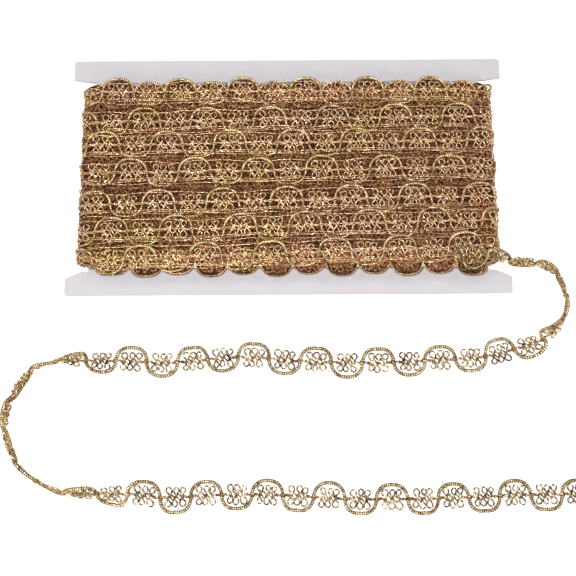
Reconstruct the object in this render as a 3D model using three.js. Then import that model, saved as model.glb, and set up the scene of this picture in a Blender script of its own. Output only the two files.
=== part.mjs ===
// Centipede braid trim wound on a notched card, with one end lying loose in an S in front of it.
// Millimetres, +Z up. The origin is on the surface under the middle of the card, X runs along the rows.

import * as THREE from 'three';
import { ParametricGeometry } from 'three/addons/geometries/ParametricGeometry.js';
import { mergeVertices } from 'three/addons/utils/BufferGeometryUtils.js';

// The trim: a thick cord in waves from edge to edge, with lobed filigree along the middle
const TRIM = {
  swing: 6.2,
  cordRadius: 0.85,
  plateHalf: 0.6,
  clusterHalf: 4.6,
  tieHalf: 1.2,
  edgeRound: 0.35,
  underLand: 0.25,
  pointGap: 0.05,
  archFlatness: 2.3,
  archRise: 0.55,
  lobeFullness: 0.6,
  stepsPerHalfWave: 5,
};
const HALF_WIDTH = TRIM.swing + TRIM.cordRadius;

// The card
const CARD = {
  halfWidth: 101.5,
  halfHeight: 58,
  thickness: 1.2,
  neckHalfWidth: 91,
  neckY: 46.8,
  shoulderX: 94.5,
  shoulderY: 47.1,
  tipTopY: 48.2,
  tipBottomY: 50.2,
  cornerRound: 0.8,
};

// The wound pack
const PACK = {
  thickness: 13,
  sideRadius: 6.5,
  halfWidth: 96,
  wave: 29.4,
  cordProud: 0.8,
  valleyDepth: 1.6,
  edgeDrop: 1.1,
  notchLimit: 45.8,
  lineGap: 0.2,
  wallGap: 0.3,
  holeSquareness: 1.6,
  backSpans: 16,
  cornerSteps: 8,
};
const CARD_Z = PACK.thickness / 2;
const FRONT_HALF = PACK.halfWidth - PACK.sideRadius;

// Rows of the pack from the top: centre line at the left and right ends, and the place of one crest
const ROWS = [
  { left: 39.4, right: 39.6, crest: 8.6 },
  { left: 25.1, right: 26.3, crest: -8.2 },
  { left: 11.5, right: 14.1, crest: 2.7 },
  { left: -1.0, right: 0.7, crest: -13.6 },
  { left: -16.6, right: -13.1, crest: -0.5 },
  { left: -29.7, right: -24.8, crest: 7.7 },
  { left: -43.4, right: -37.3, crest: -8.2 },
  { left: -43.9, right: -43.3, crest: 3.8 },
];
// The layer under the top row shows between its crests
const UNDER_EDGE = { drop: 2.4, crest: -6.1 };

// The loose end: a row for each place where its course changes, counted in half waves from the pack
const COURSE = [
  { halfWave: 0.7, x: 96.9, y: -43.2, lift: 3.2, lean: 38 },
  { halfWave: 1, x: 100.6, y: -43.9, lift: 2.2, lean: 55 },
  { halfWave: 2, x: 112.2, y: -44.4, lift: 0.3, lean: 82 },
  { halfWave: 3, x: 121.4, y: -49.2, lift: 0, lean: 90 },
  { halfWave: 4, x: 124.7, y: -59.1, lift: 0, lean: 90 },
  { halfWave: 5, x: 122.8, y: -69.9, lift: 0, lean: 78 },
  { halfWave: 6, x: 114.3, y: -78.9, lift: 0, lean: 42 },
  { halfWave: 7, x: 101.6, y: -82.9, lift: 0, lean: 10 },
  { halfWave: 8, x: 88.7, y: -86.0, lift: 0, lean: 0 },
  { halfWave: 10, x: 61.2, y: -87.8, lift: 0, lean: 0 },
  { halfWave: 12, x: 33.2, y: -88.6, lift: 0, lean: 0 },
  { halfWave: 14, x: 5.1, y: -87.6, lift: 0, lean: 0 },
  { halfWave: 16, x: -22.8, y: -85.6, lift: 0, lean: 0 },
  { halfWave: 18, x: -50.1, y: -87.8, lift: 0, lean: 0 },
  { halfWave: 20, x: -77.7, y: -87.3, lift: 0, lean: 10 },
  { halfWave: 21, x: -90.5, y: -87.7, lift: 0, lean: 35 },
  { halfWave: 22, x: -103.0, y: -88.1, lift: 0, lean: 68 },
  { halfWave: 23, x: -114.5, y: -92.6, lift: 0, lean: 86 },
  { halfWave: 24, x: -122.6, y: -104.9, lift: 0, lean: 90 },
  { halfWave: 25, x: -124.4, y: -119.0, lift: 0, lean: 90 },
  { halfWave: 26, x: -119.4, y: -132.0, lift: 0, lean: 90 },
  { halfWave: 27, x: -109.6, y: -140.8, lift: 0, lean: 88 },
  { halfWave: 28, x: -97.0, y: -145.8, lift: 0, lean: 80 },
  { halfWave: 29, x: -83.3, y: -146.6, lift: 0, lean: 62 },
  { halfWave: 30, x: -70.4, y: -146.5, lift: 0, lean: 30 },
  { halfWave: 31, x: -56.5, y: -147.9, lift: 0, lean: 5 },
  { halfWave: 33, x: -29.8, y: -146.7, lift: 0, lean: 0 },
  { halfWave: 35, x: -3.1, y: -147.1, lift: 0, lean: 0 },
  { halfWave: 37, x: 24.0, y: -148.8, lift: 0, lean: 0 },
  { halfWave: 39, x: 51.4, y: -149.0, lift: 0, lean: 0 },
  { halfWave: 41, x: 78.0, y: -148.4, lift: 0, lean: 0 },
  { halfWave: 43, x: 105.1, y: -147.6, lift: 0, lean: 0 },
  { halfWave: 45, x: 132.4, y: -147.2, lift: 0, lean: 0 },
];

// Points nearer than this are one point
const SAME_POINT = 1e-4;
// How far on each side of a place, in half waves, the strip's heading is taken
const HEADING_REACH = 0.02;

const clamp = THREE.MathUtils.clamp;
const lerp = THREE.MathUtils.lerp;
const degToRad = THREE.MathUtils.degToRad;

// Height of the cord's arch over one half wave: steep at its feet and flat on top
function arch(part) {
  const off = Math.abs(2 * part - 1);
  return Math.pow(1 - Math.pow(off, TRIM.archFlatness), TRIM.archRise);
}

// Signed height of the wave, from 1 in a crest to -1 in a trough
function wave(halfWaves) {
  const index = Math.floor(halfWaves);
  const sign = index % 2 === 0 ? 1 : -1;
  return sign * arch(halfWaves - index);
}

// Half width of the filigree: a lobed cluster between two narrow ties
function filigree(halfWaves) {
  const part = halfWaves - Math.floor(halfWaves);
  const lobe = Math.pow(Math.sin(Math.PI * part), TRIM.lobeFullness);
  return lerp(TRIM.tieHalf, TRIM.clusterHalf, lobe);
}

// One closed mesh from a surface function, with shared points merged and empty faces dropped
function closedSurface(place, slices, stacks) {
  const byIndex = (u, v, target) => place(Math.round(u * slices), Math.round(v * stacks), target);
  const grid = new ParametricGeometry(byIndex, slices, stacks);
  grid.deleteAttribute('normal');
  grid.deleteAttribute('uv');
  const merged = mergeVertices(grid, SAME_POINT);
  const old = merged.index.array;
  const kept = [];
  for (let i = 0; i < old.length; i += 3) {
    const [a, b, c] = [old[i], old[i + 1], old[i + 2]];
    if (a !== b && b !== c && c !== a) kept.push(a, b, c);
  }
  merged.setIndex(kept);
  merged.computeVertexNormals();
  return merged;
}

// Card, an I-shaped board with a slanted notch in each side
function makeCard() {
  const c = CARD;
  const half = [
    [c.neckHalfWidth, c.neckY],
    [c.shoulderX, c.shoulderY],
    [c.halfWidth, c.tipTopY],
    [c.halfWidth, c.halfHeight - c.cornerRound],
    [c.halfWidth - c.cornerRound, c.halfHeight],
  ];
  const lower = half.map(([x, y]) => [x, y === c.tipTopY ? -c.tipBottomY : -y]);
  const right = [...lower.reverse(), ...half];
  const left = right.map(([x, y]) => [-x, y]).reverse();
  const outline = [...right, ...left].map(([x, y]) => new THREE.Vector2(x, y));
  const board = new THREE.ExtrudeGeometry(new THREE.Shape(outline), {
    depth: c.thickness,
    bevelEnabled: false,
  });
  return board.translate(0, 0, CARD_Z - c.thickness / 2);
}

// Stations round the pack: across the front, round the right side, back along the underside and up the left
function packStations() {
  const stations = [];
  const step = PACK.wave / 2 / TRIM.stepsPerHalfWave;
  const count = 2 * Math.floor(FRONT_HALF / step);
  for (let i = 0; i <= count; i += 1) {
    const x = (i - count / 2) * step;
    stations.push({ x, along: x, angle: 90, relief: 1, across: (x + FRONT_HALF) / (2 * FRONT_HALF) });
  }
  const corner = (side) => {
    for (let i = 0; i <= PACK.cornerSteps; i += 1) {
      const turned = side > 0 ? i : PACK.cornerSteps - i;
      const angle = 90 - (180 * turned) / PACK.cornerSteps;
      const relief = clamp((angle + 90) / 45, 0, 1);
      const along = side * (FRONT_HALF + PACK.sideRadius * degToRad(90 - angle));
      stations.push({ x: side * FRONT_HALF, side, along, angle, relief, across: side > 0 ? 1 : 0 });
    }
  };
  corner(1);
  for (let i = 1; i < PACK.backSpans; i += 1) {
    const across = 1 - i / PACK.backSpans;
    const x = lerp(-FRONT_HALF, FRONT_HALF, across);
    stations.push({ x, along: x, angle: -90, relief: 0, across });
  }
  corner(-1);
  return stations.reverse();
}

// Lines along the rows at one station, from the top edge down: each has its place and its depth
function packLines(station) {
  const lines = [];
  const field = PACK.cordProud;
  const cordAt = (row) => {
    const centre = lerp(row.left, row.right, station.across);
    const turns = (2 * (station.along - row.crest)) / PACK.wave + 0.5;
    return { centre, cord: centre + TRIM.swing * wave(turns) };
  };
  const top = cordAt(ROWS[0]);
  const under = cordAt({ ...ROWS[0], crest: UNDER_EDGE.crest }).cord - UNDER_EDGE.drop;
  const topReach = Math.max(top.cord, under, top.centre + TRIM.clusterHalf) + TRIM.cordRadius;
  lines.push({ y: topReach, depth: PACK.edgeDrop });
  ROWS.forEach((row, index) => {
    const { centre, cord } = cordAt(row);
    const next = ROWS[index + 1];
    lines.push({ y: cord + TRIM.cordRadius, depth: field });
    lines.push({ y: cord, depth: 0 });
    lines.push({ y: cord - TRIM.cordRadius, depth: field });
    if (next) {
      const nextCentre = lerp(next.left, next.right, station.across);
      const valley = Math.min((centre + nextCentre) / 2, cord - TRIM.cordRadius - PACK.lineGap);
      lines.push({ y: valley, depth: PACK.valleyDepth });
    }
  });
  const last = cordAt(ROWS[ROWS.length - 1]);
  const bottomReach = Math.min(last.cord, last.centre - TRIM.clusterHalf) - TRIM.cordRadius;
  lines.push({ y: bottomReach - PACK.lineGap, depth: PACK.edgeDrop });
  const limit = station.angle < 90 ? PACK.notchLimit : Infinity;
  lines.forEach((line, index) => {
    line.y = Math.min(line.y, limit - index * PACK.lineGap);
    if (index > 0) line.y = Math.min(line.y, lines[index - 1].y - PACK.lineGap);
  });
  lines.forEach((line, index) => {
    const below = lines.length - 1 - index;
    line.y = Math.max(line.y, below * PACK.lineGap - limit);
  });
  return lines;
}

// Wound pack, one ring round the card's neck with its rows, cords and scalloped edges raised
function makeWinding() {
  const stations = packStations();
  const outer = stations.map(packLines);
  const lineCount = outer[0].length;
  const holeHalfX = CARD.neckHalfWidth + PACK.wallGap;
  const holeHalfZ = CARD.thickness / 2 + PACK.wallGap;
  const place = (i, j, target) => {
    const station = stations[i % stations.length];
    const lines = outer[i % stations.length];
    const line = j % (lineCount + 2);
    const angle = degToRad(station.angle);
    const side = station.side ?? 0;
    if (line < lineCount) {
      const { y, depth } = lines[line];
      const radius = PACK.sideRadius - depth * station.relief;
      target.set(station.x + side * radius * Math.cos(angle), y, CARD_Z + radius * Math.sin(angle));
      return;
    }
    const y = line === lineCount ? lines[lineCount - 1].y : lines[0].y;
    const x = side === 0 ? station.x : side * holeHalfX;
    target.set(x, y, CARD_Z + holeHalfZ * clamp(PACK.holeSquareness * Math.sin(angle), -1, 1));
  };
  return closedSurface(place, stations.length, lineCount + 2);
}

// Smooth value through the course's rows, taken by half wave
function courseValue(name, halfWave) {
  const rows = COURSE;
  let k = rows.findIndex((row) => row.halfWave > halfWave) - 1;
  if (k < 0) k = rows.length - 2;
  const [a, b] = [rows[k], rows[k + 1]];
  const before = rows[k - 1] ?? a;
  const after = rows[k + 2] ?? b;
  const span = b.halfWave - a.halfWave;
  const t = (halfWave - a.halfWave) / span;
  const slopeA = before === a ? (b[name] - a[name]) / span
    : (b[name] - before[name]) / (b.halfWave - before.halfWave);
  const slopeB = after === b ? (b[name] - a[name]) / span
    : (after[name] - a[name]) / (after.halfWave - a.halfWave);
  const t2 = t * t;
  const t3 = t2 * t;
  return (2 * t3 - 3 * t2 + 1) * a[name] + (t3 - 2 * t2 + t) * span * slopeA
    + (3 * t2 - 2 * t3) * b[name] + (t3 - t2) * span * slopeB;
}

// Centre, left-hand edge direction and upper face direction of the strip at a half wave
function courseFrame(halfWave) {
  const first = COURSE[0].halfWave;
  const last = COURSE[COURSE.length - 1].halfWave;
  const from = Math.max(first, halfWave - HEADING_REACH);
  const to = Math.min(last, halfWave + HEADING_REACH);
  const heading = new THREE.Vector3(
    courseValue('x', to) - courseValue('x', from),
    courseValue('y', to) - courseValue('y', from),
    0,
  ).normalize();
  const left = new THREE.Vector3(-heading.y, heading.x, 0);
  const up = new THREE.Vector3(0, 0, 1);
  const lean = degToRad(clamp(courseValue('lean', halfWave), 0, 90));
  const across = left.clone().multiplyScalar(Math.cos(lean)).addScaledVector(up, Math.sin(lean));
  const face = left.clone().multiplyScalar(-Math.sin(lean)).addScaledVector(up, Math.cos(lean));
  const rest = HALF_WIDTH * Math.sin(lean) + TRIM.cordRadius * Math.cos(lean);
  const height = rest + Math.max(0, courseValue('lift', halfWave));
  const centre = new THREE.Vector3(courseValue('x', halfWave), courseValue('y', halfWave), height);
  return { centre, across, face };
}

// Cross-section of the strip, right-hand edge first along the upper face: places across and off the middle
function stripSection(halfWave) {
  const { cordRadius: r, plateHalf: p, edgeRound: e, underLand: land, pointGap: gap } = TRIM;
  const cord = TRIM.swing * wave(halfWave);
  const reach = filigree(halfWave);
  const high = Math.max(cord + r, reach);
  const low = Math.min(cord - r, -reach);
  const cordHigh = Math.min(cord + p, high - e - gap);
  const cordLow = Math.max(cord - p, low + e + gap);
  return [
    [low, 0],
    [low + e, p],
    [cordLow, p],
    [cord, r],
    [cordHigh, p],
    [high - e, p],
    [high, 0],
    [high - e, -p],
    [cordHigh, -p],
    [Math.min(cord + land, cordHigh - gap), -r],
    [Math.max(cord - land, cordLow + gap), -r],
    [cordLow, -p],
    [low + e, -p],
  ];
}

// Loose end, one strip along the course, closed by a flat face at each end
function makeLooseEnd() {
  const first = COURSE[0].halfWave;
  const last = COURSE[COURSE.length - 1].halfWave;
  const steps = Math.round((last - first) * TRIM.stepsPerHalfWave);
  const points = stripSection(first).length;
  const place = (i, j, target) => {
    const inner = clamp(i - 1, 0, steps);
    const halfWave = lerp(first, last, inner / steps);
    const { centre, across, face } = courseFrame(halfWave);
    const closing = i === 0 || i === steps + 2;
    const section = stripSection(halfWave);
    const [c, h] = closing ? [TRIM.swing * wave(halfWave), 0] : section[j % points];
    target.copy(centre).addScaledVector(across, c).addScaledVector(face, h);
    target.z = Math.max(target.z, 0);
  };
  return closedSurface(place, steps + 2, points);
}

function subPart(name, geometry, colour, roughness, metalness) {
  const material = new THREE.MeshStandardMaterial({ color: colour, roughness, metalness });
  const mesh = new THREE.Mesh(geometry, material);
  mesh.name = name;
  return mesh;
}

const model = new THREE.Group();
model.add(subPart('card', makeCard(), 0xdddadf, 0.8, 0));
model.add(subPart('winding', makeWinding(), 0xa5743a, 0.45, 0.6));
model.add(subPart('loose_end', makeLooseEnd(), 0xb5803b, 0.4, 0.7));

export default model;
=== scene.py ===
# %% [markdown]
# # A card of centipede braid
# A gold braid is wound in rows round a flat white card, and its free end lies in front of it in
# an S. The card and the places of everything come from the frame. The braid's own threads are far too fine
# for the frame's solids, so they are made here.

# %% Start from the frame
import math
import random

import bmesh
import bpy
import numpy as np
from mathutils import Matrix, Vector


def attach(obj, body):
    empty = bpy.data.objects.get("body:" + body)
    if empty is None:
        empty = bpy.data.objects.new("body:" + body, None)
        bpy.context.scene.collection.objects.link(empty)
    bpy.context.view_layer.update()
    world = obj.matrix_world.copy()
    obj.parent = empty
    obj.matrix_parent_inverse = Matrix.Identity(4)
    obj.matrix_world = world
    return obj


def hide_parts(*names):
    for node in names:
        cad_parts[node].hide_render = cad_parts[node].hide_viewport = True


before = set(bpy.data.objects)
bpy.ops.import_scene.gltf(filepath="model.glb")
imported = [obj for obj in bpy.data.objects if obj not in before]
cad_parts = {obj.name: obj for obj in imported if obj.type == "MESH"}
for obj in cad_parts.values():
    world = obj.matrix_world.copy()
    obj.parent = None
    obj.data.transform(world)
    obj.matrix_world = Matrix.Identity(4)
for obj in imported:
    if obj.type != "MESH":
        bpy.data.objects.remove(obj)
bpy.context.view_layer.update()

MM = 0.001
print("frame nodes:", sorted(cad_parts))

# %% [markdown]
# ## Camera
# The picture looks down on the card from the front, 15 degrees off straight down, through a moderately long
# lens. The camera comes first, because it decides which lengths have to be right. Its numbers are real
# sizes: where it stands over the card, how far it is tipped, and the lens.

# %% Camera
FRAME_PIXELS = 576
FOCAL_PIXELS = 1100
SENSOR_MM = 36.0
CAMERA_PLACE = Vector((-0.2, -185.6, 487.4)) * MM
CAMERA_TIP = math.radians(15.19)
CAMERA_ROLL = math.radians(-0.35)

camera_data = bpy.data.cameras.new("studio_camera")
camera_data.sensor_width = SENSOR_MM
camera_data.lens = SENSOR_MM * FOCAL_PIXELS / FRAME_PIXELS
camera = bpy.data.objects.new("studio_camera", camera_data)
bpy.context.scene.collection.objects.link(camera)
camera.matrix_world = (
    Matrix.Translation(CAMERA_PLACE)
    @ Matrix.Rotation(CAMERA_TIP, 4, "X")
    @ Matrix.Rotation(CAMERA_ROLL, 4, "Z")
)
bpy.context.scene.camera = camera
print("lens", round(camera_data.lens, 1), "mm")

# %% [markdown]
# ## The braid's sizes
# Every length of braid is the same product, so its sizes are stated once. A half wave is the stretch in
# which the thick cord makes one arch. The strip is worked out flat and is bent to its place afterwards, as
# the real braid is made flat and wound later. On the flat strip X runs along it, Y across and Z off its face.

# %% Sizes of the braid
HALF_WAVE = 13.7
SWING = 6.14
CORD_RADIUS = 0.84
THREAD_RADIUS = 0.42
TIE_RADIUS = 0.27
PULLED_CORD_RADIUS = 0.64
PULLED_THREAD_RADIUS = 0.24
TILE_HALF_WAVES = 12
print("braid", round(2 * (SWING + CORD_RADIUS), 2), "mm wide")

# %% [markdown]
# ## Laying one thread
# A thread is a flat grid rolled up round a line of points. It could be a curve with a round bevel, but a
# grid lets every point remember how far along the thread it is, and the ribs and the painted glints and
# painted shade of the metal foil need that. The ring round each point is turned by one fixed direction, so
# that ends meet without twist.

# %% Thread tool
ALONG = "along"
RIB_PITCH = 0.95
SHUT = 1e-7
SAMPLES_PER_KNOT = 12


def lay_thread(bm, points, radius, sides, material, square_to=(0, 0, 1), rib=0.0):
    """Roll a grid into a tube round the points, and note the distance along on each point of it.
    The radius is one value or one for each point. A rib is the height of a fine winding on the thread, as a
    share of its radius."""
    points = np.array(points, float)
    radius = np.broadcast_to(radius, len(points))[:, None]
    ahead = np.gradient(points, axis=0)
    if np.allclose(points[0], points[-1]):
        ahead[0] = ahead[-1] = points[1] - points[-2]
    side = np.cross(square_to, ahead)
    side /= np.linalg.norm(side, axis=1)[:, None]
    up = np.cross(ahead, side)
    up /= np.linalg.norm(up, axis=1)[:, None]
    run = np.concatenate([[0], np.cumsum(np.linalg.norm(np.diff(points, axis=0), axis=1))])
    turns = 2 * math.pi * np.arange(sides + 1) / sides
    swell = radius * (1 + rib * np.sin(2 * math.pi * run[:, None] / RIB_PITCH + turns[None, :]))
    rings = points[:, None] + swell[:, :, None] * (
        np.cos(turns)[None, :, None] * side[:, None] + np.sin(turns)[None, :, None] * up[:, None]
    )
    along = bm.verts.layers.float[ALONG]
    made = bmesh.ops.create_grid(bm, x_segments=len(points) - 1, y_segments=sides, size=0.5)["verts"]
    for v in made:
        i = round((v.co.x + 0.5) * (len(points) - 1))
        j = round((v.co.y + 0.5) * sides)
        v.co = rings[i, j] * MM
        v[along] = run[i] * MM
        for f in v.link_faces:
            f.material_index = material
            f.smooth = True
    bmesh.ops.remove_doubles(bm, verts=made, dist=SHUT)


def smooth_line(knots, step):
    """Points at an even step on a smooth curve through the knots."""
    knots = np.array(knots, float)
    first, last = 2 * knots[0] - knots[1], 2 * knots[-1] - knots[-2]
    padded = np.vstack([first, knots, last])
    t = np.linspace(0, 1, SAMPLES_PER_KNOT, endpoint=False)[:, None]
    fine = []
    for p0, p1, p2, p3 in zip(padded, padded[1:], padded[2:], padded[3:]):
        fine.append(
            0.5 * (2 * p1 + (p2 - p0) * t + (2 * p0 - 5 * p1 + 4 * p2 - p3) * t**2
                   + (3 * p1 - p0 - 3 * p2 + p3) * t**3)
        )
    fine = np.vstack(fine + [knots[-1:]])
    run = np.concatenate([[0], np.cumsum(np.linalg.norm(np.diff(fine, axis=0), axis=1))])
    at = np.linspace(0, run[-1], max(2, round(run[-1] / step)) + 1)
    return np.stack([np.interp(at, run, fine[:, i]) for i in range(3)], axis=1)


# %% [markdown]
# ## The thick cord
# The cord swings from one edge of the braid to the other in full round arches, flat on top and steep at
# their feet. A sine would look weak, so each arch is a squared ellipse. No two arches of the real braid are
# quite as high, and a few per cent of seeded variation keeps that.

# %% Cord course
CREST = {"width_power": 0.8, "height_power": 1.05}
TROUGH = {"width_power": 0.64, "height_power": 1.1}
GIRTH_FROM, GIRTH_TO = 0.1, 0.5


def cord_points(steps, heights, lows):
    """The cord's middle line, one arch for each height, up and down in turn, and its share of full girth.
    Lows is that share away from the crests, where a wound row is pulled tight."""
    points, girths = [], []
    for n, height in enumerate(heights):
        sign, arch = (1, CREST) if n % 2 == 0 else (-1, TROUGH)
        for i in range(steps):
            turn = math.pi * i / steps
            c, s = math.cos(turn), math.sin(turn)
            part = 0.5 - 0.5 * math.copysign(abs(c) ** arch["width_power"], c)
            points.append(((n + part) * HALF_WAVE, sign * height * SWING * s ** arch["height_power"], 0.0))
            full = np.clip((sign * s - GIRTH_FROM) / (GIRTH_TO - GIRTH_FROM), 0, 1)
            girths.append(lows + (1 - lows) * full)
    points.append((len(heights) * HALF_WAVE, 0.0, 0.0))
    girths.append(girths[0])
    return points, np.array(girths)


# %% [markdown]
# ## The filigree
# Two fine threads run along the middle and curl three times in each half wave, one upwards and one
# downwards, so that six loops stand round a crossed centre. The curl is the one of a handwritten l: up on
# the right, over the top and down across its own stem. The lower thread is the upper one turned half round.

# %% Filigree course
CURLS = (
    {"x": -3.0, "y": 2.75, "wide": 1.3, "tall": 1.45, "tip": 16},
    {"x": 0.35, "y": 2.85, "wide": 1.15, "tall": 1.35, "tip": 2},
    {"x": 3.2, "y": 2.7, "wide": 1.15, "tall": 1.25, "tip": -14},
)
CURL_FROM, CURL_TO, CURL_KNOTS = -58, 238, 7
DIP = -1.25
LEAD_DIP = -0.35
STEM_X, STEM_Y = 5.3, 0.2
TIE_Y = 0.25
OVER_CORD, UNDER_CORD = 0.9, -0.75
CROSSING_REACH = 1.5
WEAVE = 0.2
VARIED = {"place": 0.3, "size": 0.14, "tip": 14, "dip": 0.3}


def curl_knots(curl):
    """Knots round one loop, tipped as the real ones lean."""
    tip = math.radians(curl["tip"])
    knots = []
    for degrees in np.linspace(CURL_FROM, CURL_TO, CURL_KNOTS):
        turn = math.radians(degrees)
        x, y = curl["wide"] * math.cos(turn), curl["tall"] * math.sin(turn)
        knots.append((
            curl["x"] + x * math.cos(tip) - y * math.sin(tip),
            curl["y"] + x * math.sin(tip) + y * math.cos(tip),
        ))
    return knots


def half_wave_knots(rng, loosen):
    """The upper thread through one half wave, from the tie on its left to the tie on its right."""
    knots = [(-HALF_WAVE / 2, TIE_Y), (-STEM_X, STEM_Y)]
    last_x = -STEM_X
    for curl in CURLS:
        moved = dict(curl)
        for key in ("x", "y"):
            moved[key] += rng.uniform(-VARIED["place"], VARIED["place"]) * loosen
        for key in ("wide", "tall"):
            moved[key] *= 1 + rng.uniform(-VARIED["size"], VARIED["size"]) * loosen
        moved["tip"] += rng.uniform(-VARIED["tip"], VARIED["tip"]) * loosen
        dip = LEAD_DIP if last_x == -STEM_X else DIP
        dip += rng.uniform(-VARIED["dip"], VARIED["dip"]) * loosen
        knots.append(((last_x + moved["x"]) / 2, dip))
        knots += curl_knots(moved)
        last_x = moved["x"]
    knots.append(((last_x + STEM_X) / 2, LEAD_DIP))
    knots.append((STEM_X, -STEM_Y))
    return knots


def filigree_lines(half_waves, step, rng, loosen):
    """Both threads over so many half waves, each as one line of points."""
    half = HALF_WAVE / 2
    lines = []
    for lower in (False, True):
        knots = []
        for n in range(half_waves):
            part = half_wave_knots(rng, loosen)
            if lower:
                part = [(-half, -TIE_Y)] + [(-x, -y) for x, y in reversed(part[1:])]
            for x, y in part:
                crossing = max(0.0, 1 - (half - abs(x)) / CROSSING_REACH)
                weave = WEAVE if len(knots) % 2 else -WEAVE
                off = UNDER_CORD if lower else OVER_CORD
                knots.append(((2 * n + 1) * half + x, y, crossing * off + (1 - crossing) * weave))
        knots.append((2 * half_waves * half, knots[0][1], knots[0][2]))
        lines.append(smooth_line(knots, step))
    return lines


# %% [markdown]
# ## A tile of braid
# Twelve half waves are made, all a little different, and an Array modifier repeats them. That is far
# quicker than laying every loop, and the repeat is too long to notice. Where the fine threads cross the
# cord, a few turns of thread tie them down, and a turn or two closes the middle of each cluster.

# %% Tile
CORD, THREAD, TIE = range(3)
ARCH_HEIGHTS = (0.94, 1.08)
FINE = {"cord_steps": 104, "cord_sides": 7, "rib": 0.13, "lows": 1.0, "thread_step": 0.62,
        "thread_sides": 5, "loosen": 0.8, "ties": 3, "knots": 2, "tie_sides": 4, "tie_segments": 8}
MIDDLING = {"cord_steps": 22, "cord_sides": 6, "rib": 0.0, "lows": 0.7, "thread_step": 0.75,
            "thread_sides": 4, "loosen": 1.2, "ties": 2, "knots": 1, "tie_sides": 3, "tie_segments": 6}
LACE_ONLY = {"cord_steps": 0, "lows": 1.0, "thread_step": 0.85,
             "thread_sides": 3, "loosen": 1.9, "ties": 0, "knots": 1, "tie_sides": 3, "tie_segments": 6}
COARSE = {"cord_steps": 14, "cord_sides": 5, "rib": 0.0, "lows": 0.7, "thread_step": 0.9,
          "thread_sides": 3, "loosen": 1.5, "ties": 1, "knots": 1, "tie_sides": 3, "tie_segments": 6}
TIED = {"past": 0.5, "slant": (0.3, 1, 0), "clear": 0.3, "spacing": 0.6}
KNOTTED = {"slant": (1, 0.5, 0), "radius": 0.6, "wander_along": 0.4, "wander_across": 0.3}


def lay_turns(bm, place, direction, radius, count, spacing, sides, segments):
    """A few closed turns of thread round a line through the place."""
    direction = np.array(direction, float)
    direction /= np.linalg.norm(direction)
    across = np.array([-direction[1], direction[0], 0])
    around = 2 * math.pi * np.arange(segments + 1) / segments
    for i in range(count):
        middle = np.array(place, float) + direction * (i - (count - 1) / 2) * spacing
        ring = [middle + radius * (math.cos(a) * across + math.sin(a) * np.array([0, 0, 1])) for a in around]
        ring[-1] = ring[0]
        lay_thread(bm, ring, TIE_RADIUS, sides, TIE, square_to=direction)


def finished_tile(name, bm):
    """The threads laid so far, as a mesh with its normals outwards."""
    bmesh.ops.recalc_face_normals(bm, faces=bm.faces)
    mesh = bpy.data.meshes.new(name)
    bm.to_mesh(mesh)
    bm.free()
    print(name, len(mesh.polygons), "faces in", TILE_HALF_WAVES, "half waves")
    return mesh


def braid_tile(name, make, seed, cord_radius=CORD_RADIUS, thread_radius=THREAD_RADIUS):
    """One repeat of braid as a mesh, lying flat along X. No cord steps leave the cord out."""
    rng = random.Random(seed)
    bm = bmesh.new()
    bm.verts.layers.float.new(ALONG)
    heights = [rng.uniform(*ARCH_HEIGHTS) for _ in range(TILE_HALF_WAVES)]
    if make["cord_steps"]:
        points, girths = cord_points(make["cord_steps"], heights, make["lows"])
        lay_thread(bm, points, cord_radius * girths, make["cord_sides"], CORD, rib=make["rib"])
    for line in filigree_lines(TILE_HALF_WAVES, make["thread_step"], rng, make["loosen"]):
        lay_thread(bm, line, thread_radius, make["thread_sides"], THREAD)
    for n in range(TILE_HALF_WAVES):
        crossing = (n * HALF_WAVE + TIED["past"], 0, 0)
        around_cord = cord_radius * make["lows"] + TIED["clear"] * TIE_RADIUS
        lay_turns(bm, crossing, TIED["slant"], around_cord, make["ties"], TIED["spacing"],
                  make["tie_sides"], make["tie_segments"])
        along = rng.uniform(-KNOTTED["wander_along"], KNOTTED["wander_along"])
        across = rng.uniform(-KNOTTED["wander_across"], KNOTTED["wander_across"])
        lay_turns(bm, ((n + 0.5) * HALF_WAVE + along, across, 0), KNOTTED["slant"], KNOTTED["radius"],
                  make["knots"], TIED["spacing"], make["tie_sides"], make["tie_segments"])
    return finished_tile(name, bm)


# %% [markdown]
# ## Lengthwise threads
# A few fine threads run straight along each wound row, over and under the clusters. They are slack, so
# each is a straight line with a few slow swings. Whole numbers of swings let the tiles meet end to end.

# %% Running threads and all tiles
RUNNING = {"places": (-5.2, -4.1, -3.2, 0.3, 4.8), "wander": 0.5, "dive": 0.4, "step": 2.2, "sides": 4,
           "radius": 0.18, "swings": (2, 5, 9), "dives": (7, 11)}


def running_tile(name, seed):
    """One repeat of the lengthwise threads that cross each row, a little slack, as a mesh along X."""
    rng = random.Random(seed)
    bm = bmesh.new()
    bm.verts.layers.float.new(ALONG)
    length = TILE_HALF_WAVES * HALF_WAVE
    x = np.linspace(0, length, round(length / RUNNING["step"]) + 1)
    for place in RUNNING["places"]:
        y, z = np.full_like(x, place), np.zeros_like(x)
        for count in RUNNING["swings"]:
            y += RUNNING["wander"] / count**0.5 * np.sin(2 * math.pi * (count * x / length + rng.random()))
        for count in RUNNING["dives"]:
            z += RUNNING["dive"] / 2 * np.sin(2 * math.pi * (count * x / length + rng.random()))
        lay_thread(bm, np.stack([x, y, z], axis=1), RUNNING["radius"], RUNNING["sides"], THREAD)
    return finished_tile(name, bm)


fine_tile = braid_tile("fine_tile", FINE, 11)
middling_tile = braid_tile("middling_tile", MIDDLING, 37, PULLED_CORD_RADIUS, PULLED_THREAD_RADIUS)
coarse_tile = braid_tile("coarse_tile", COARSE, 23, PULLED_CORD_RADIUS, PULLED_THREAD_RADIUS)
lace_tile = braid_tile("lace_tile", LACE_ONLY, 41, PULLED_CORD_RADIUS, PULLED_THREAD_RADIUS)
lengthwise_tile = running_tile("lengthwise_tile", 5)


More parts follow.
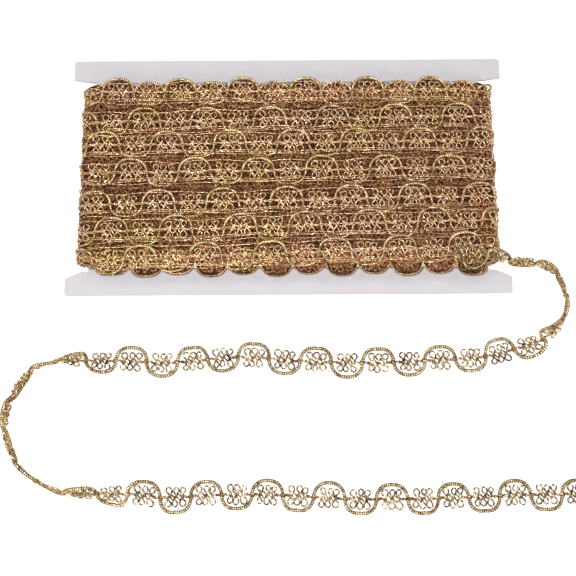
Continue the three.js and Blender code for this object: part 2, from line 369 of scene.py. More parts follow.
# %% [markdown]
# ## Repeating and bending
# The Array modifier lays tiles end to end and merges their ends. The result is made a plain mesh, cut to
# length, and its points are moved to their places along a course. A Curve modifier could bend it too, with
# tilt to stand it on its edge. A short function does it here, so that the loose end's table and the pack's
# sizes drive it directly.

# %% Array, cut and bend
MERGE_MM = 0.02


def long_braid(tile, tiles):
    """So many tiles in a row, as one mesh."""
    source = bpy.data.objects.new("array_source", tile)
    bpy.context.scene.collection.objects.link(source)
    array = source.modifiers.new("row", "ARRAY")
    array.count = tiles
    array.use_relative_offset = False
    array.use_constant_offset = True
    array.constant_offset_displace = (TILE_HALF_WAVES * HALF_WAVE * MM, 0, 0)
    array.use_merge_vertices = True
    array.merge_threshold = MERGE_MM * MM
    depsgraph = bpy.context.evaluated_depsgraph_get()
    mesh = bpy.data.meshes.new_from_object(source.evaluated_get(depsgraph))
    bpy.data.objects.remove(source)
    return mesh


def cut_to_length(mesh, start, end):
    """Cut the strip straight across at both places, in half waves, and close the cuts."""
    bm = bmesh.new()
    bm.from_mesh(mesh)
    for place, outwards in ((start, -1), (end, 1)):
        bmesh.ops.bisect_plane(
            bm, geom=bm.verts[:] + bm.edges[:] + bm.faces[:], dist=SHUT,
            plane_co=(place * HALF_WAVE * MM, 0, 0), plane_no=(outwards, 0, 0), clear_outer=True,
        )
    bmesh.ops.holes_fill(bm, edges=[e for e in bm.edges if e.is_boundary], sides=0)
    bmesh.ops.triangulate(bm, faces=[f for f in bm.faces if len(f.verts) > 4])
    bm.to_mesh(mesh)
    bm.free()


def bend(mesh, course):
    """Move every point from the flat strip to its place on the course, and keep it off the surface."""
    flat = np.empty(len(mesh.vertices) * 3)
    mesh.vertices.foreach_get("co", flat)
    flat = flat.reshape(-1, 3) / MM
    placed = course(flat[:, 0] / HALF_WAVE, flat[:, 1], flat[:, 2])
    placed[:, 2] = np.maximum(placed[:, 2], 0)
    mesh.vertices.foreach_set("co", (placed * MM).ravel())
    mesh.update()


# %% [markdown]
# ## The course of the loose end
# The free end comes off the pack's lower right corner, stands up on its edge round the first bend, lies
# down for a row, stands up again and lies down once more. The table has a row for each place where that
# changes, counted in half waves, and lean is 0 lying flat and 90 on edge. From half wave 6 on it is the
# course of the frame's solid. Before that it leaves it: it starts on the pack and stands up sooner.

# %% Loose course
COURSE = np.array([
    # half wave, x, y, lift, lean
    (-1.3, 75.0, -42.6, 11.2, 0),
    (-0.5, 84.0, -42.4, 10.8, 34),
    (0.3, 93.0, -42.7, 6.0, 74),
    (1, 100.4, -43.0, 2.0, 86),
    (2, 113.2, -44.2, 0.2, 89),
    (3, 122.3, -49.6, 0, 97),
    (4, 125.4, -59.1, 0, 100),
    (5, 123.2, -69.9, 0, 86),
    (6, 114.3, -78.9, 0, 42),
    (7, 101.6, -82.9, 0, 10),
    (8, 88.7, -86.0, 0, 0),
    (10, 61.2, -87.8, 0, 0),
    (12, 33.2, -88.6, 0, 0),
    (14, 5.1, -87.6, 0, 0),
    (16, -22.8, -85.6, 0, 0),
    (18, -50.1, -87.8, 0, 0),
    (20, -77.7, -87.3, 0, 10),
    (21, -90.5, -87.7, 0, 35),
    (22, -103.0, -88.1, 0, 68),
    (23, -114.5, -92.6, 0, 86),
    (24, -122.6, -104.9, 0, 90),
    (25, -124.4, -119.0, 0, 90),
    (26, -119.4, -132.0, 0, 90),
    (27, -109.6, -140.8, 0, 88),
    (28, -97.0, -145.8, 0, 80),
    (29, -83.3, -146.6, 0, 62),
    (30, -70.4, -146.5, 0, 30),
    (31, -56.5, -147.9, 0, 5),
    (33, -29.8, -146.7, 0, 0),
    (35, -3.1, -147.1, 0, 0),
    (37, 24.0, -148.8, 0, 0),
    (39, 51.4, -149.0, 0, 0),
    (41, 78.0, -148.4, 0, 0),
    (43, 105.1, -147.6, 0, 0),
    (45, 132.4, -147.2, 0, 0),
])
HEADING_REACH = 0.02


def course_value(column, at):
    """A smooth value through one column of the course."""
    knots, values = COURSE[:, 0], COURSE[:, column]
    slopes = np.empty_like(values)
    slopes[1:-1] = (values[2:] - values[:-2]) / (knots[2:] - knots[:-2])
    slopes[0] = (values[1] - values[0]) / (knots[1] - knots[0])
    slopes[-1] = (values[-1] - values[-2]) / (knots[-1] - knots[-2])
    k = np.clip(np.searchsorted(knots, at, side="right") - 1, 0, len(knots) - 2)
    span = knots[k + 1] - knots[k]
    t = (at - knots[k]) / span
    return (
        (2 * t**3 - 3 * t**2 + 1) * values[k] + (t**3 - 2 * t**2 + t) * span * slopes[k]
        + (3 * t**2 - 2 * t**3) * values[k + 1] + (t**3 - t**2) * span * slopes[k + 1]
    )


def loose_course(half_wave, across, off):
    """Places for points of the loose strip: along in half waves, across and off its face."""
    first, last = COURSE[0, 0], COURSE[-1, 0]
    half_wave = np.clip(half_wave, first, last)
    ahead = np.minimum(half_wave + HEADING_REACH, last)
    behind = np.maximum(half_wave - HEADING_REACH, first)
    dx = course_value(1, ahead) - course_value(1, behind)
    dy = course_value(2, ahead) - course_value(2, behind)
    left = np.stack([-dy, dx, 0 * dx], axis=1) / np.hypot(dx, dy)[:, None]
    up = np.array([0, 0, 1])
    lean = np.radians(np.maximum(course_value(4, half_wave), 0))[:, None]
    rest = (SWING + CORD_RADIUS) * np.sin(lean) + CORD_RADIUS * np.cos(lean)
    height = rest[:, 0] + np.maximum(course_value(3, half_wave), 0)
    centre = np.stack([course_value(1, half_wave), course_value(2, half_wave), height], axis=1)
    return (
        centre + across[:, None] * (np.cos(lean) * left + np.sin(lean) * up)
        + off[:, None] * (np.cos(lean) * up - np.sin(lean) * left)
    )


# %% [markdown]
# ## Building a finish
# Every finish is a small graph of nodes in front of one shader. Four helpers keep each graph readable: a new
# finish, a node with its values and links, a colour ramp, and a relief that only the light sees.

# %% Finish tools
def new_finish(name, constants):
    """A material with these values set on its shader, and the shader."""
    material = bpy.data.materials.new(name)
    material.use_nodes = True
    shader = material.node_tree.nodes["Principled BSDF"]
    for socket, value in constants.items():
        shader.inputs[socket].default_value = value
    return material, shader


def add_node(material, kind, inputs, operation=None):
    """A node of this kind. Each input is a value or another node's output."""
    node = material.node_tree.nodes.new("ShaderNode" + kind)
    if operation:
        node.operation = operation
    for socket, value in inputs.items():
        if isinstance(value, bpy.types.NodeSocket):
            material.node_tree.links.new(value, node.inputs[socket])
        else:
            node.inputs[socket].default_value = value
    return node


def colour_ramp(material, factor, stops):
    """The colour for a factor, through stops that are each a position and a colour."""
    ramp = add_node(material, "ValToRGB", {"Fac": factor})
    elements = ramp.color_ramp.elements
    elements[0].position, elements[1].position = stops[0][0], stops[-1][0]
    elements[0].color, elements[1].color = (*stops[0][1], 1), (*stops[-1][1], 1)
    for position, colour in stops[1:-1]:
        elements.new(position).color = (*colour, 1)
    return ramp.outputs["Color"]


def finish_with(material, shader, colour, height, relief_mm):
    """Link the colour, and the height as a relief of so many millimetres."""
    relief = add_node(material, "Bump", {"Distance": relief_mm * MM, "Height": height})
    material.node_tree.links.new(colour, shader.inputs["Base Color"])
    material.node_tree.links.new(relief.outputs["Normal"], shader.inputs["Normal"])
    return material


# %% [markdown]
# ## Finishes of the threads
# The threads are wrapped in gold foil, which catches white light on one side of each twist and goes nearly
# brown on the other, and that speckle is most of what shows from a step away. Here it is painted into the
# colour, as a painted glint and painted shade round each twist. The distance along each thread drives the
# twist, so it follows every curl. The real braid is one material, and the finishes here are lit and shaded
# copies of it: lightest and least metallic on the outside of the pack, which is painted light; redder and
# darker deep in it, which is painted shade; and warmer where the loose end stands up or lies on the pack,
# which is painted light.

# %% Foil
GOLDEN, ROSY, PLAIN = (1.0, 0.98, 0.80), (1.0, 0.94, 0.91), (1.0, 1.0, 1.0)
DRIFTING, STEADY = (GOLDEN, ROSY), (PLAIN, PLAIN)
DRIFT = {"mm": 26, "detail": 2, "from": 0.4, "to": 0.6}
GLINT_AND_SHADE_STOPS = (0.25, 0.5, 0.75)
PATCH_DETAIL = 3


def foil(name, dark, mid, light, twist, glint_swing, patch, metallic, roughness, bump, tints):
    """Foil-wrapped thread: dark, mid and light are its colours round each twist and in each patch, and
    its tint drifts slowly from one hue to the other over the whole of the trim. Round each twist the dark is
    painted shade and the light a painted glint; from patch to patch the tone differs at random."""
    material, shader = new_finish(name, {
        "Metallic": metallic, "Roughness": roughness, "Specular Tint": (*dark, 1),
    })
    distance = add_node(material, "Attribute", {})
    distance.attribute_name = ALONG
    turns = add_node(
        material, "Math", {0: distance.outputs["Fac"], 1: 2 * math.pi / (twist * MM)}, "MULTIPLY"
    )
    wave = add_node(material, "Math", {0: turns.outputs[0]}, "SINE")
    place = add_node(material, "TexCoord", {}).outputs["Object"]
    noise = add_node(
        material, "TexNoise", {"Vector": place, "Scale": 1 / (patch * MM), "Detail": PATCH_DETAIL}
    )
    # Painted glint and painted shade: the twist's sine runs the colour from dark to light round each twist;
    # the noise adds tone that differs at random.
    part = add_node(
        material, "Math", {0: wave.outputs[0], 1: glint_swing, 2: noise.outputs["Fac"]}, "MULTIPLY_ADD"
    )
    colour = colour_ramp(material, part.outputs[0], tuple(zip(GLINT_AND_SHADE_STOPS, (dark, mid, light))))
    drift = add_node(
        material, "TexNoise", {"Vector": place, "Scale": 1 / (DRIFT["mm"] * MM), "Detail": DRIFT["detail"]}
    )
    tint = colour_ramp(
        material, drift.outputs["Fac"], ((DRIFT["from"], tints[0]), (DRIFT["to"], tints[1]))
    )
    tinted = add_node(material, "VectorMath", {0: colour, 1: tint}, "MULTIPLY")
    return finish_with(material, shader, tinted.outputs[0], wave.outputs[0], bump)


FOILS = (
    # name, dark, mid, light: round each twist the dark is painted shade and the light a painted glint,
    # twist mm, glint swing, patch mm, metallic, roughness, bump mm, tints
    ("loose_cord", (0.07, 0.035, 0.012), (0.365, 0.25, 0.115), (0.88, 0.74, 0.47),
     RIB_PITCH, 0.21, 1.1, 0.9, 0.34, 0.045, STEADY),
    ("loose_thread", (0.05, 0.025, 0.009), (0.36, 0.245, 0.125), (0.90, 0.75, 0.49),
     2.3, 0.12, 3.5, 1.0, 0.3, 0.02, STEADY),
    ("loose_tie", (0.10, 0.030, 0.005), (0.42, 0.18, 0.04), (0.80, 0.42, 0.12),
     0.7, 0.15, 1.8, 0.8, 0.38, 0.02, STEADY),
    # Painted light: lighter, warmer copies where the loose end stands up or lies on the pack.
    ("upright_cord_painted_light", (0.07, 0.034, 0.010), (0.455, 0.315, 0.135), (0.97, 0.81, 0.50),
     RIB_PITCH, 0.21, 1.4, 0.9, 0.3, 0.045, STEADY),
    ("upright_thread_painted_light", (0.10, 0.044, 0.014), (0.53, 0.355, 0.165), (0.98, 0.83, 0.55),
     2.3, 0.12, 2.5, 0.8, 0.28, 0.02, STEADY),
    ("upright_tie_painted_light", (0.13, 0.045, 0.01), (0.46, 0.23, 0.07), (0.84, 0.50, 0.18),
     0.7, 0.15, 1.8, 0.6, 0.38, 0.02, STEADY),
    # Painted light: lighter, warmer, less metallic copies for the outside of the pack.
    ("outer_cord_painted_light", (0.13, 0.06, 0.02), (0.49, 0.335, 0.165), (0.96, 0.80, 0.55),
     RIB_PITCH, 0.13, 2.0, 0.5, 0.26, 0.03, DRIFTING),
    ("outer_thread_painted_light", (0.26, 0.11, 0.042), (0.84, 0.56, 0.33), (1.00, 0.90, 0.70),
     2.3, 0.12, 1.5, 0.4, 0.25, 0.02, DRIFTING),
    ("outer_tie_painted_light", (0.15, 0.05, 0.015), (0.40, 0.19, 0.08), (0.80, 0.50, 0.26),
     0.7, 0.15, 1.5, 0.4, 0.38, 0.02, DRIFTING),
    # Painted shade: redder, darker copies for the layers deep in the pack.
    ("second_thread_painted_shade", (0.08, 0.024, 0.008), (0.27, 0.112, 0.047), (0.52, 0.27, 0.13),
     2.3, 0.12, 1.5, 0.3, 0.35, 0.02, DRIFTING),
    ("second_tie_painted_shade", (0.05, 0.015, 0.005), (0.18, 0.065, 0.025), (0.36, 0.16, 0.065),
     0.7, 0.15, 1.5, 0.3, 0.4, 0.02, DRIFTING),
    ("gap_thread_painted_shade", (0.11, 0.036, 0.013), (0.37, 0.18, 0.085), (0.68, 0.42, 0.23),
     2.3, 0.12, 1.5, 0.35, 0.3, 0.02, DRIFTING),
)
foils = {row[0]: foil(*row) for row in FOILS}
LOOSE_FINISHES = [foils[name] for name in ("loose_cord", "loose_thread", "loose_tie")]
UPRIGHT_PAINTED_LIGHT_FINISHES = [foils[name] for name in ("upright_cord_painted_light", "upright_thread_painted_light", "upright_tie_painted_light")]
OUTER_PAINTED_LIGHT_FINISHES = [foils[name] for name in ("outer_cord_painted_light", "outer_thread_painted_light", "outer_tie_painted_light")]
SECOND_PAINTED_LIGHT_AND_SHADE_FINISHES = [foils[name] for name in ("outer_cord_painted_light", "second_thread_painted_shade", "second_tie_painted_shade")]
GAP_PAINTED_LIGHT_AND_SHADE_FINISHES = [foils[name] for name in ("outer_cord_painted_light", "gap_thread_painted_shade", "second_tie_painted_shade")]
print(len(foils), "foil finishes")


def braid_piece(name, mesh, finishes, node):
    """A finished piece of braid in place of a node."""
    mesh.name = name
    for finish in finishes:
        mesh.materials.append(finish)
    piece = bpy.data.objects.new(name, mesh)
    bpy.context.scene.collection.objects.link(piece)
    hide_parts(node)
    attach(piece, "root")
    print(name, sum(len(f.vertices) - 2 for f in mesh.polygons), "triangles")
    return piece


# %% [markdown]
# ## The loose end
# The free end is one length of braid laid on its course. It is a flat lace: its flat size is its width and
# the length between its two ends. Its outline waves, and with the holes filled it takes up two thirds of
# that rectangle, measured on the two flat rows.

# %% Loose end
loose_from, loose_to = COURSE[0, 0], COURSE[-1, 0]
LEAD_IN = 2
PAINTED_LIGHT_FROM_LEAN = 25
loose_mesh = long_braid(fine_tile, math.ceil((loose_to + LEAD_IN) / TILE_HALF_WAVES))
cut_to_length(loose_mesh, loose_from + LEAD_IN, loose_to + LEAD_IN)
off_flat = np.abs((COURSE[:, 4] + 90) % 180 - 90)
# Faces on the pack, and faces leaning further off flat than this, take the upright finishes: painted light.
for face in loose_mesh.polygons:
    half_wave = face.center.x / (HALF_WAVE * MM) - LEAD_IN
    if half_wave < 0 or np.interp(half_wave, COURSE[:, 0], off_flat) > PAINTED_LIGHT_FROM_LEAN:
        face.material_index += len(LOOSE_FINISHES)
bend(loose_mesh, lambda half_wave, across, off: loose_course(half_wave - LEAD_IN, across, off))
loose_braid = braid_piece(
    "loose_braid", loose_mesh, LOOSE_FINISHES + UPRIGHT_PAINTED_LIGHT_FINISHES, "loose_end"
)

# %% [markdown]
# ## The wound pack
# Seven rows show in full, each several turns thick, and parts of three more show along the scalloped
# edges. The section is a flat bar with round ends. Only the outermost turns show their threads, so only
# those are laid as real braid. Each row leans a little, because its upper edge lies on the row above.
# Off the front, whatever would stand past the card's notch is drawn in, as the notch holds it.

# %% Pack sizes
PACK = {"middle": 6.5, "front_half": 89.5, "half_wave": 14.7, "lean": 0.09, "side_bulge": 1.5}
HELD = {"at": 44.0, "shoulder": 38.0, "tuck": 0.38, "fade": 3.0, "settle": 1.0}
LOOSENESS = {"radius": 0.1, "across": 0.12, "waves": 3, "length": (25, 70), "phase": (0, 6.3)}
TOP_RADIUS = 5.4
ROWS = (
    {"left": 39.4, "right": 39.6, "crest": 8.6, "radius": TOP_RADIUS, "side": 1},
    {"left": 24.1, "right": 26.3, "crest": -8.2, "radius": TOP_RADIUS, "side": 1},
    {"left": 12.7, "right": 14.1, "crest": 2.7, "radius": TOP_RADIUS, "side": 1},
    {"left": -1.0, "right": 0.7, "crest": -13.6, "radius": TOP_RADIUS, "side": 1},
    {"left": -16.6, "right": -13.1, "crest": -0.5, "radius": TOP_RADIUS, "side": 1},
    {"left": -29.7, "right": -24.8, "crest": 7.7, "radius": TOP_RADIUS, "side": 1},
    {"left": -43.4, "right": -37.3, "crest": -8.2, "radius": TOP_RADIUS, "side": 1},
)
EDGE_ROWS = (
    {"left": 37.9, "right": 38.1, "crest": 23.3, "radius": TOP_RADIUS - 0.8, "side": 1},
    {"left": -44.4, "right": -44.2, "crest": -5.2, "radius": TOP_RADIUS - 0.9, "side": -1},
    {"left": -43.5, "right": -43.1, "crest": 9.2, "radius": TOP_RADIUS - 1.2, "side": -1},
)
BOTTOM_EDGE = -42.5
TOP_EDGE = 41.0
SCALLOPS = (
    # edge, crest, y of the cord's middle, height
    (1, ROWS[0]["crest"], 39.5, 7.0),
    (1, EDGE_ROWS[0]["crest"], 38.0, 6.4),
    (-1, EDGE_ROWS[1]["crest"], 44.3, 5.8),
    (-1, EDGE_ROWS[2]["crest"], 43.3, 5.8),
)
EDGE = {"top": 43.6, "bottom": 46.2, "corner": 44.4, "rounding": 0.03, "arch_half": 6.9,
        "arch_power": 2.6, "end": 88.4, "slack": 0.3}


def scalloped_edge(side, x):
    """How far the filling reaches at this x: out into every arch of the cord along the edge."""
    flat = EDGE["top"] if side > 0 else EDGE["bottom"]
    reach = np.full_like(x, flat)
    for edge, crest, middle, height in SCALLOPS:
        if edge == side:
            dx = np.mod(x - crest + PACK["half_wave"], 2 * PACK["half_wave"]) - PACK["half_wave"]
            inside = np.maximum(0, 1 - np.abs(dx / EDGE["arch_half"]) ** EDGE["arch_power"])
            arch = middle + height * np.sqrt(inside)
            reach = np.where(np.abs(x - dx) < EDGE["end"], np.maximum(reach, arch), reach)
    past = np.abs(x) - EDGE["end"]
    return side * np.where(past > 0, EDGE["corner"] - EDGE["rounding"] * past**2, reach)


def pack_course(row, shift, rng):
    """A function that lays a strip once round the pack."""
    front, pitch = PACK["front_half"], PACK["half_wave"]
    wander = [
        (rng.uniform(*LOOSENESS["phase"]), rng.uniform(*LOOSENESS["length"]))
        for _ in range(LOOSENESS["waves"])
    ]

    def place(half_wave, across, off):
        across = row["side"] * across
        along = row["side"] * (half_wave - shift - 0.5) * pitch + row["crest"]
        drift = sum(np.sin(along / length * 2 * math.pi + start) for start, length in wander)
        radius = row["radius"] + off + PACK["lean"] * across + LOOSENESS["radius"] * drift
        bend_length = math.pi * row["radius"]
        past = np.clip(np.abs(along) - front, 0, bend_length)
        angle = past / bend_length * math.pi
        beyond = np.maximum(np.abs(along) - front - bend_length, 0)
        x = np.where(np.abs(along) <= front, along, np.sign(along) * (front - beyond))
        x = x + np.sign(along) * (radius + PACK["side_bulge"]) * np.sin(angle)
        z = PACK["middle"] + radius * np.cos(angle)
        share = np.clip((x + front) / (2 * front), 0, 1)
        y = row["left"] + (row["right"] - row["left"]) * share + across + LOOSENESS["across"] * drift
        past_shoulder = np.maximum(np.abs(y) - HELD["shoulder"], 0)
        off_front = np.clip((np.abs(along) - front) / HELD["fade"] + 1, 0, 1)
        y = y - np.sign(y) * off_front * HELD["tuck"] * past_shoulder
        on_front = np.abs(along) < front - HELD["settle"]
        y = np.where(on_front, y, np.clip(y, -HELD["at"], HELD["at"]))
        if row["radius"] < TOP_RADIUS:
            y = np.clip(y, scalloped_edge(-1, x) - EDGE["slack"], scalloped_edge(1, x) + EDGE["slack"])
        return np.stack([x, y, z], axis=1)

    return place


FIRST_SHIFT, SHIFT_CHOICES = 14, 6


def wound_rows(name, rows, tile, reach_from, reach_to, seed):
    """Strips round the pack, one for each row, as one mesh. The reach is the part of a turn that is laid."""
    rng = random.Random(seed)
    whole = bmesh.new()
    for row in rows:
        turn = 4 * PACK["front_half"] + 2 * math.pi * row["radius"]
        shift = FIRST_SHIFT + 2 * rng.randrange(SHIFT_CHOICES)
        start, end = sorted(
            row["side"] * (reach * turn - row["crest"]) / PACK["half_wave"] + 0.5 + shift
            for reach in (reach_from, reach_to)
        )
        mesh = long_braid(tile, math.ceil(end / TILE_HALF_WAVES))
        cut_to_length(mesh, start, end)
        bend(mesh, pack_course(row, shift, rng))
        whole.from_mesh(mesh)
        bpy.data.meshes.remove(mesh)
    mesh = bpy.data.meshes.new(name)
    whole.to_mesh(mesh)
    whole.free()
    return mesh


# %% [markdown]
# ## The layers of the pack
# The outer rows lie over three sparser layers of lace, which are laid lower, higher and out of step, so that
# the gaps show threads and not a surface. The back is out of sight in the photo, so its braid is a coarser
# one of the same pattern. Random draws are made in the table's order.

# %% Wound layers
SHIFT_SPREAD = 14


def under_rows(drop, radius, top, rng):
    """Rows of a lower layer: a little lower or higher than the outer ones and out of step with them. Top is
    the uppermost row's own drop and shift, where it has one."""
    rows = []
    for index, row in enumerate(ROWS):
        if index == 0 and top:
            here = top
        else:
            here = {"drop": drop, "shift": rng.uniform(-SHIFT_SPREAD, SHIFT_SPREAD)}
        rows.append({
            "left": min(max(row["left"] - here["drop"], BOTTOM_EDGE), TOP_EDGE),
            "right": min(max(row["right"] - here["drop"], BOTTOM_EDGE), TOP_EDGE),
            "crest": row["crest"] + here["shift"], "radius": radius, "side": 1,
        })
    return rows


FRONT_REACH, HALF_TURN = 0.29, 0.5
rng = random.Random(5)
# The outer rows, the back and the running threads take the finishes painted light. The lace layers take those
# painted shade, and so do the threads and ties of the edge rows, whose cord is painted light.
WOUND = (
    # name, rows, tile, finishes, first and last reach
    ("pack_edge_rows", EDGE_ROWS, middling_tile, GAP_PAINTED_LIGHT_AND_SHADE_FINISHES, -FRONT_REACH, FRONT_REACH),
    ("pack_front_rows", ROWS, middling_tile, OUTER_PAINTED_LIGHT_FINISHES, -FRONT_REACH, FRONT_REACH),
    ("pack_back_left_rows", ROWS, coarse_tile, OUTER_PAINTED_LIGHT_FINISHES, -HALF_TURN, -FRONT_REACH),
    ("pack_back_right_rows", ROWS, coarse_tile, OUTER_PAINTED_LIGHT_FINISHES, FRONT_REACH, HALF_TURN),
    ("pack_high_lace", under_rows(-3.4, TOP_RADIUS - 0.55, {"drop": -1.6, "shift": 5}, rng),
     lace_tile, SECOND_PAINTED_LIGHT_AND_SHADE_FINISHES, -FRONT_REACH, FRONT_REACH),
    ("pack_gap_lace", under_rows(7.4, TOP_RADIUS - 0.5, {"drop": 7.4, "shift": -6}, rng),
     lace_tile, GAP_PAINTED_LIGHT_AND_SHADE_FINISHES, -FRONT_REACH, FRONT_REACH),
    ("pack_low_lace", under_rows(3.3, TOP_RADIUS - 0.8, None, rng),
     lace_tile, SECOND_PAINTED_LIGHT_AND_SHADE_FINISHES, -FRONT_REACH, FRONT_REACH),
    ("pack_running_threads", under_rows(0.0, TOP_RADIUS - 0.1, None, rng),
     lengthwise_tile, OUTER_PAINTED_LIGHT_FINISHES, -FRONT_REACH, FRONT_REACH),
)
for seed, (name, rows, tile, finishes, start, end) in enumerate(WOUND):
    mesh = wound_rows(name, rows, tile, start, end, seed)
    braid_piece(name, mesh, finishes, "winding")

# %% [markdown]
# ## The core of the pack
# Below the laid threads the turns are packed so tightly that only a brown tangle is seen: gold turns in deep
# shade. A closed sleeve round the card's neck stands for it: a grid wrapped round a flat oval, outside and
# inside, whose long edges follow the scallops. Its dark brown is painted shade. Small rings in its finish
# stand for loops, and sagging bands for stacked turns.

# %% Core shape
CORE = {"end_reach": 5.7, "depth": 3.3, "hole_x": 91.3, "hole_z": 0.9, "around": 400, "end_share": 0.1}
SECTION = (
    # edge, outside or in the card's slot
    (-1, True), (1, True), (1, False), (-1, False), (-1, True),
)
BANDS = len(SECTION) - 1


def sleeve_point(share, end_reach, half_x, half_z):
    """A place on a closed flat oval, by the share of the way round it."""
    straight = 0.5 - CORE["end_share"]
    side = 1 if share < 0.5 else -1
    local = share % 0.5
    if local <= straight:
        x, turn = side * (2 * local / straight - 1) * half_x, 0.0
    else:
        x, turn = side * half_x, math.pi * (local - straight) / CORE["end_share"]
    return x + side * end_reach * math.sin(turn), PACK["middle"] + side * half_z * math.cos(turn)


core_bm = bmesh.new()
made = bmesh.ops.create_grid(core_bm, x_segments=CORE["around"], y_segments=BANDS, size=0.5)["verts"]
for f in core_bm.faces:
    band = int((f.calc_center_median().y + 0.5) * BANDS)
    f.material_index = int(SECTION[band][0] == SECTION[band + 1][0])
for v in made:
    share = round((v.co.x + 0.5) * CORE["around"]) / CORE["around"] % 1.0
    side, outside = SECTION[round((v.co.y + 0.5) * BANDS)]
    outer = sleeve_point(share, CORE["end_reach"], PACK["front_half"], CORE["depth"])
    inner = sleeve_point(share, 0.0, CORE["hole_x"], CORE["hole_z"])
    x, z = outer if outside else inner
    v.co = Vector((x, scalloped_edge(side, np.array(outer[0])), z)) * MM
bmesh.ops.remove_doubles(core_bm, verts=made, dist=SHUT)
bmesh.ops.recalc_face_normals(core_bm, faces=core_bm.faces)
core_mesh = bpy.data.meshes.new("pack_core")
core_bm.to_mesh(core_mesh)
core_bm.free()

# %% [markdown]
# ## The core's two finishes
# Rings of light thread on brown are read off the distance to scattered points; the brown and the rings are
# painted shade, far darker than the braid's gold. The long edges have bands across the pack's depth, one for
# each turn, dark between the turns as painted shade, and a slow noise makes them sag.

# %% Core finishes
# Painted shade: the gold turns deep in the pack are painted dark brown, the rings of thread a little lighter.
LOOP_PAINTED_SHADE, LOOP_SHADED_THREAD = (0.04, 0.012, 0.006), (0.16, 0.06, 0.028)
LOOP = {"apart": 1.9, "relief": 0.3}
LOOP_AND_SHADE_STOPS = (
    (0.0, LOOP_PAINTED_SHADE), (0.30, LOOP_PAINTED_SHADE), (0.40, LOOP_SHADED_THREAD), (0.50, LOOP_SHADED_THREAD), (0.60, LOOP_PAINTED_SHADE),
    (1.0, LOOP_PAINTED_SHADE),
)
core_shade_finish, shader = new_finish(
    "painted_shade_tangle", {"Metallic": 0.3, "Roughness": 0.6, "Specular IOR Level": 0.2}
)
place = add_node(core_shade_finish, "TexCoord", {}).outputs["Object"]
loops = add_node(core_shade_finish, "TexVoronoi", {"Vector": place, "Scale": 1 / (LOOP["apart"] * MM)})
rings = colour_ramp(core_shade_finish, loops.outputs["Distance"], LOOP_AND_SHADE_STOPS)
finish_with(core_shade_finish, shader, rings, rings, LOOP["relief"])

STACK = {"pitch": 1.15, "sag": 5.0, "patch": 4.0, "relief": 0.3}
# Painted shade between the stacked turns: the bands run from dark between turns to light on each turn.
STACK_SHADE_STOPS = ((0.1, (0.12, 0.042, 0.018)), (0.9, (0.95, 0.64, 0.36)))
side_shade_finish, shader = new_finish("stacked_turns_painted_shade", {"Metallic": 0.3, "Roughness": 0.45})
place = add_node(side_shade_finish, "TexCoord", {}).outputs["Object"]
depth = add_node(side_shade_finish, "SeparateXYZ", {0: place}).outputs["Z"]
sag = add_node(side_shade_finish, "TexNoise", {"Vector": place, "Scale": 1 / (STACK["patch"] * MM)})
sagged = add_node(side_shade_finish, "Math", {0: sag.outputs["Fac"], 1: STACK["sag"]}, "MULTIPLY")
turns = add_node(
    side_shade_finish, "Math", {0: depth, 1: 2 * math.pi / (STACK["pitch"] * MM), 2: sagged.outputs[0]},
    "MULTIPLY_ADD",
)
wave = add_node(side_shade_finish, "Math", {0: turns.outputs[0]}, "SINE").outputs[0]
finish_with(side_shade_finish, shader, colour_ramp(side_shade_finish, wave, STACK_SHADE_STOPS), wave, STACK["relief"])

core_mesh.materials.append(core_shade_finish)
core_mesh.materials.append(side_shade_finish)
core = bpy.data.objects.new("pack_core", core_mesh)
bpy.context.scene.collection.objects.link(core)
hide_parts("winding")
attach(core, "root")
print("core", len(core_mesh.polygons), "faces")

# %% [markdown]
# ## The card
# The card is smooth coated board, nearly white with a hint of lilac. Its shape comes from the frame as it
# is. A faint cloudiness and fine fibre keep it from looking like plastic.

# %% Card finish
FIBRE = {"scale": 600, "detail": 5, "relief": 0.02}
FIBRE_STOPS = ((0.3, (0.525, 0.500, 0.525)), (0.7, (0.545, 0.520, 0.545)))
card_finish, shader = new_finish("coated_board", {"Roughness": 0.6})
place = add_node(card_finish, "TexCoord", {}).outputs["Object"]
fibre = add_node(
    card_finish, "TexNoise", {"Vector": place, "Scale": FIBRE["scale"], "Detail": FIBRE["detail"]}
).outputs["Fac"]
finish_with(card_finish, shader, colour_ramp(card_finish, fibre, FIBRE_STOPS), fibre, FIBRE["relief"])
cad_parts["card"].data.materials[0] = card_finish
print("card finished")

# %% [markdown]
# ## The surface
# The card lies on a plain white sweep that is lit so brightly that it shows no edge. Its own glow does
# that, so that the lights can be set for the foil alone. It lies a hair low, clear of the threads.

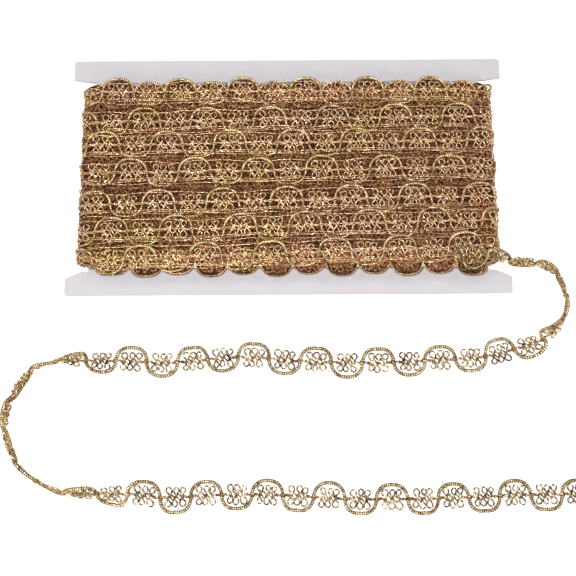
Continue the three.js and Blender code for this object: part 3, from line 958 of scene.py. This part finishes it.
# %% Floor
FLOOR = {"half": 3.0, "down": 0.3, "grey": 0.3, "glow": 1.0}
floor_bm = bmesh.new()
bmesh.ops.create_grid(floor_bm, x_segments=1, y_segments=1, size=FLOOR["half"])
bmesh.ops.translate(floor_bm, verts=floor_bm.verts, vec=(0, 0, -FLOOR["down"] * MM))
floor_mesh = bpy.data.meshes.new("white_sweep")
floor_bm.to_mesh(floor_mesh)
floor_bm.free()
floor = bpy.data.objects.new("white_sweep", floor_mesh)
bpy.context.scene.collection.objects.link(floor)
sweep, shader = new_finish("white_sweep", {
    "Base Color": (FLOOR["grey"], FLOOR["grey"], FLOOR["grey"], 1), "Roughness": 1.0,
    "Specular IOR Level": 0.0, "Emission Color": (1, 1, 1, 1), "Emission Strength": FLOOR["glow"],
})
floor_mesh.materials.append(sweep)
print("floor", 2 * FLOOR["half"], "m wide")

# %% [markdown]
# ## The lights
# Soft boxes stand nearly overhead and at the four corners, small enough to leave darker room between them,
# because metal foil only glints where it has something to reflect. The sky adds a little even light.

# %% Lights and sky
AIM = Vector((0, -0.04, 0))
SKY_STRENGTH = 0.12
LIGHTS = (
    {"name": "overhead_softbox", "place": (-0.08, -0.22, 0.98), "width": 0.14, "height": 0.14, "watts": 7.8},
    {"name": "back_left_softbox", "place": (-0.7, 0.7, 0.75), "width": 0.3, "height": 0.3, "watts": 3.2},
    {"name": "back_right_softbox", "place": (0.8, 0.6, 0.7), "width": 0.3, "height": 0.3, "watts": 3.2},
    {"name": "front_left_softbox", "place": (-0.6, -0.9, 0.75), "width": 0.3, "height": 0.3, "watts": 3.6},
    {"name": "front_right_softbox", "place": (0.7, -0.9, 0.7), "width": 0.3, "height": 0.3, "watts": 3.6},
)
for light in LIGHTS:
    data = bpy.data.lights.new(light["name"], "AREA")
    data.shape = "RECTANGLE"
    data.size = light["width"]
    data.size_y = light["height"]
    data.energy = light["watts"]
    lamp = bpy.data.objects.new(light["name"], data)
    bpy.context.scene.collection.objects.link(lamp)
    lamp.location = light["place"]
    towards = AIM - lamp.location
    lamp.rotation_euler = towards.to_track_quat("-Z", "Y").to_euler()

world = bpy.data.worlds.new("studio")
bpy.context.scene.world = world
world.use_nodes = True
sky = world.node_tree.nodes["Background"]
sky.inputs["Color"].default_value = (1, 1, 1, 1)
sky.inputs["Strength"].default_value = SKY_STRENGTH
bpy.context.scene.view_settings.view_transform = "Standard"
print(len(LIGHTS), "lights")
